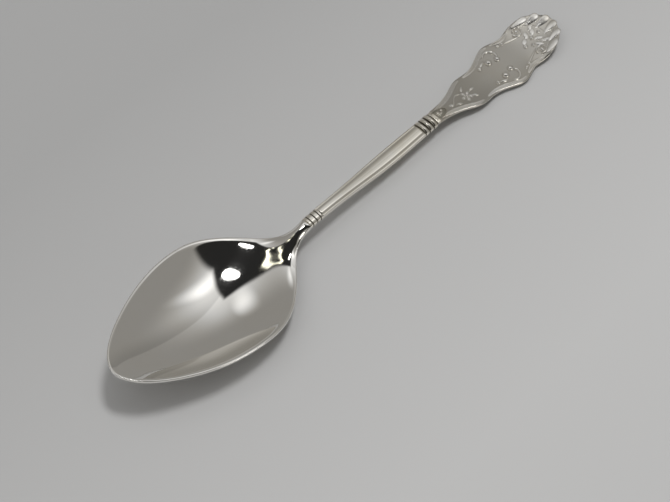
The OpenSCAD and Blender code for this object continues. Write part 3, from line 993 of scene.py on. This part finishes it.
def makeCamera():
    lens = bpy.data.cameras.new("camera")
    lens.sensor_width = studio["sensor"]
    lens.lens = studio["focalPixels"] * studio["sensor"] / studio["pictureWidth"]
    lens.clip_start = studio["clipStart"]
    camera = bpy.data.objects.new("camera", lens)
    bpy.context.scene.collection.objects.link(camera)
    forward = Vector(studio["forward"]).normalized()
    up = Vector(studio["up"]).normalized()
    right = forward.cross(up).normalized()
    up = right.cross(forward)
    turn = Matrix((right, up, -forward)).transposed().to_4x4()
    camera.matrix_world = Matrix.Translation(studio["camera"]) @ turn
    bpy.context.scene.camera = camera


room = {
    "dark": 0.02,
    "wall": 0.265,
    "leftOver": (-0.62, -0.34),  # past this X the far side of the room is pale again
    "leftLevel": 0.42,
    "behind": 0.45,  # what the camera sees past the floor
    "darkFrom": (0.55, 0.7),  # the dark part is overhead, and begins where a direction's Z passes these
    "lowLevel": 0.36,
    "sideEdge": (0.145, 0.185),  # the pale boards begin where a direction's X passes these
    "lowEdge": (0.075, 0.125),  # or, lower down, where X and a share of Y do
    "lowLean": 0.38,
    "backEdge": (0.395, 0.445),  # and at the back where Y and a share of X do
    "backLean": 0.45,
    "corner": (0.308, -0.931, 0.196),  # square to the plane in which the two boards meet
    "cornerEdge": (-0.01, 0.02),
    "cornerShade": 0.2,
    "cornerReach": 0.4,
    "warm": (1.0, 0.975, 0.925),
    "warmLevels": (0.25, 0.6),  # warm up to the first brightness, white from the second
    "glows": [  # X and Y of the middle, half length, half width, turn in degrees, strength
        (0.19, 0.10, 0.74, 0.74, 0, 0.62),
        (0.293, -0.113, 0.493, 0.186, -26, 0.56),
        (0.126, 0.566, 0.265, 0.09, 73, 0.5),
    ],
}


def makeWorld():  # a dim room with two pale boards that meet in a corner behind the spoon
    world = bpy.data.worlds.new("room")
    bpy.context.scene.world = world
    world.use_nodes = True
    nodes, links = world.node_tree.nodes, world.node_tree.links
    back = nodes["Background"]
    place = nodes.new("ShaderNodeTexCoord")
    direction = place.outputs["Generated"]

    def towards(vector):  # how far the direction leans along a vector
        node = nodes.new("ShaderNodeVectorMath")
        node.operation = "DOT_PRODUCT"
        node.inputs[1].default_value = vector
        links.new(direction, node.inputs[0])
        return node.outputs["Value"]

    def ranged(source, low, high, fromValue, toValue):
        node = nodes.new("ShaderNodeMapRange")
        node.interpolation_type = "SMOOTHSTEP"
        node.inputs["From Min"].default_value = low
        node.inputs["From Max"].default_value = high
        node.inputs["To Min"].default_value = fromValue
        node.inputs["To Max"].default_value = toValue
        links.new(source, node.inputs["Value"])
        return node.outputs["Result"]

    def both(operation, first, second):
        node = nodes.new("ShaderNodeMath")
        node.operation = operation
        links.new(first, node.inputs[0])
        links.new(second, node.inputs[1])
        return node.outputs["Value"]

    def blend(share, first, second, kind="FLOAT"):
        node = nodes.new("ShaderNodeMix")
        node.data_type = kind
        links.new(share, node.inputs["Factor"])
        for label, value in (("A", first), ("B", second)):
            if isinstance(value, bpy.types.NodeSocket):
                links.new(value, node.inputs[label])
            else:
                node.inputs[label].default_value = value
        return node.outputs["Result"]

    side = ranged(towards((1, 0, 0)), *room["sideEdge"], 0, 1)
    low = ranged(towards((1, room["lowLean"], 0)), *room["lowEdge"], 0, 1)
    farBack = ranged(towards((room["backLean"], 1, 0)), *room["backEdge"], 0, 1)
    boards = both("MAXIMUM", both("MINIMUM", side, low), farBack)

    flat = nodes.new("ShaderNodeVectorMath")
    flat.operation = "MULTIPLY"
    flat.inputs[1].default_value = (1, 1, 0)
    links.new(direction, flat.inputs[0])
    wall = nodes.new("ShaderNodeValue")
    wall.outputs["Value"].default_value = room["wall"]
    level = wall.outputs["Value"]
    for x, y, long, wide, turn, strength in room["glows"]:
        glow = nodes.new("ShaderNodeMapping")
        glow.vector_type = "TEXTURE"
        glow.inputs["Location"].default_value = (x, y, 0)
        glow.inputs["Rotation"].default_value = (0, 0, radians(turn))
        glow.inputs["Scale"].default_value = (long, wide, 1)
        links.new(flat.outputs["Vector"], glow.inputs["Vector"])
        reach = nodes.new("ShaderNodeVectorMath")
        reach.operation = "LENGTH"
        links.new(glow.outputs["Vector"], reach.inputs[0])
        level = both("ADD", level, ranged(reach.outputs["Value"], 0, 1, strength, 0))
    corner = towards(room["corner"])
    left = ranged(corner, *room["cornerEdge"], 0, room["cornerShade"])
    fading = ranged(corner, 0, room["cornerReach"], 1, 0)
    shade = nodes.new("ShaderNodeMath")
    shade.operation = "SUBTRACT"
    shade.inputs[0].default_value = 1
    links.new(both("MULTIPLY", left, fading), shade.inputs[1])
    level = both("MULTIPLY", level, shade.outputs["Value"])

    over = ranged(towards((1, 0, 0)), *room["leftOver"], room["leftLevel"], room["dark"])
    overhead = ranged(towards((0, 0, 1)), *room["darkFrom"], 0, 1)
    over = blend(overhead, room["lowLevel"], over)
    lit = blend(boards, over, level)
    paths = nodes.new("ShaderNodeLightPath")
    seen = blend(paths.outputs["Is Camera Ray"], lit, room["behind"])
    links.new(seen, back.inputs["Strength"])
    tint = blend(ranged(level, *room["warmLevels"], 0, 1), (*room["warm"], 1), (1, 1, 1, 1), "RGBA")
    links.new(tint, back.inputs["Color"])


lamps = {
    # shape, direction from the bowl, direction of its length, length, width, brightness, colour, and whether
    # the metal shows it
    "keyLamp": ("ELLIPSE", (0.33, 0.0, 0.944), (0, 1, 0), 0.24, 0.14, 41.0, (1, 1, 1), False),
    "fillLamp": ("ELLIPSE", (-0.3, 0.2, 0.93), (0, 1, 0), 1.3, 1.3, 0.6, (1, 1, 1), False),
    "longLamp": ("ELLIPSE", (0.07, 0.135, 0.988), (-0.25, 0.97, 0), 0.24, 0.058, 9.0, (1, 1, 1), True),
    "warmLeft": ("RECTANGLE", (-0.182, 0.43, 0.884), (0, 1, 0), 0.085, 0.021, 1.5, (1, 0.98, 0.8), True),
    "warmRight": ("RECTANGLE", (-0.088, 0.415, 0.905), (0, 1, 0), 0.05, 0.022, 1.5, (1, 0.98, 0.8), True),
    "warmLow": ("RECTANGLE", (-0.135, 0.397, 0.908), (1, 0, 0), 0.1, 0.021, 1.5, (1, 0.98, 0.8), True),
    "sideLamp": ("ELLIPSE", (0.16, -0.93, 0.33), (1, 0.17, 0), 0.5, 0.2, 3.4, (1, 0.99, 0.95), True),
    "warmHigh": ("RECTANGLE", (-0.11, 0.468, 0.877), (1, 0, 0), 0.022, 0.018, 1.5, (1, 0.98, 0.8), True),
}
lampDistance = 0.9
lampAim = (-0.045, 0, 0)


def makeLamps():
    for name, (shape, direction, lengthwise, length, width, brightness, color, shown) in lamps.items():
        light = bpy.data.lights.new(name, "AREA")
        light.shape = shape
        light.size = length
        light.size_y = width
        light.energy = brightness * pi * length * width * (pi / 4 if shape == "ELLIPSE" else 1)
        light.color = color
        lamp = bpy.data.objects.new(name, light)
        bpy.context.scene.collection.objects.link(lamp)
        way = Vector(direction).normalized()
        sideways = way.cross(Vector(lengthwise)).normalized()
        turn = Matrix((sideways.cross(way), sideways, way)).transposed().to_4x4()
        lamp.matrix_world = Matrix.Translation(Vector(lampAim) + way * lampDistance) @ turn
        lamp.visible_camera = False
        lamp.visible_glossy = shown
        lamp.visible_diffuse = not shown  # what the metal shows doesn't light the floor as well


scratches = makeScratches()
tarnish = makeTarnish()
silver = {name: makeSilver(name, scratches, tarnish) for name in finishes}
say("materials ready")

dressed(makeBowl(), "polished", "silver_polished", "bowl")
say("bowl shaped")
# the grooves of the bands and the gaps between the ribs get a darker silver: tarnish, and painted shade
darken(dressed(makeBands(), "toned", "silver_polished", "lower_collar"), "tarnishAndShade", inGroove)
dressed(makeStem(), "toned", "silver_polished", "stem")
darken(dressed(makeRibs(), "toned", "silver_polished", "upper_collar"), "tarnishAndShade", inGap)
say("stem shaped")
# the plate's field is painted darker, standing in for the dark reflection on it
dressed(makePlate(), "darkReflectionField", "silver_field", "terminal_plate")
dressed(makeBorder(1, "borderLeft"), "worked", "silver_relief", "border_left")
dressed(makeBorder(-1, "borderRight"), "worked", "silver_relief", "border_right")
dressed(makePanel(), "shaded", "silver_relief", "cartouche_bud")
dressed(makeCartouche(), "worked", "silver_relief", "cartouche_bud")
dressed(makeSpray(), "worked", "silver_relief", "flower_spray")
dressed(makeScroll(1, "scrollLeft"), "handled", "silver_relief", "scroll_left")
dressed(makeScroll(-1, "scrollRight"), "handled", "silver_relief", "scroll_right")
dressed(makeCrest(), "worked", "silver_relief", "shell_crest")
say("terminal shaped")

makeFloor()
makeCamera()
makeWorld()
makeLamps()
bpy.context.scene.view_settings.view_transform = "Standard"
say("studio ready")
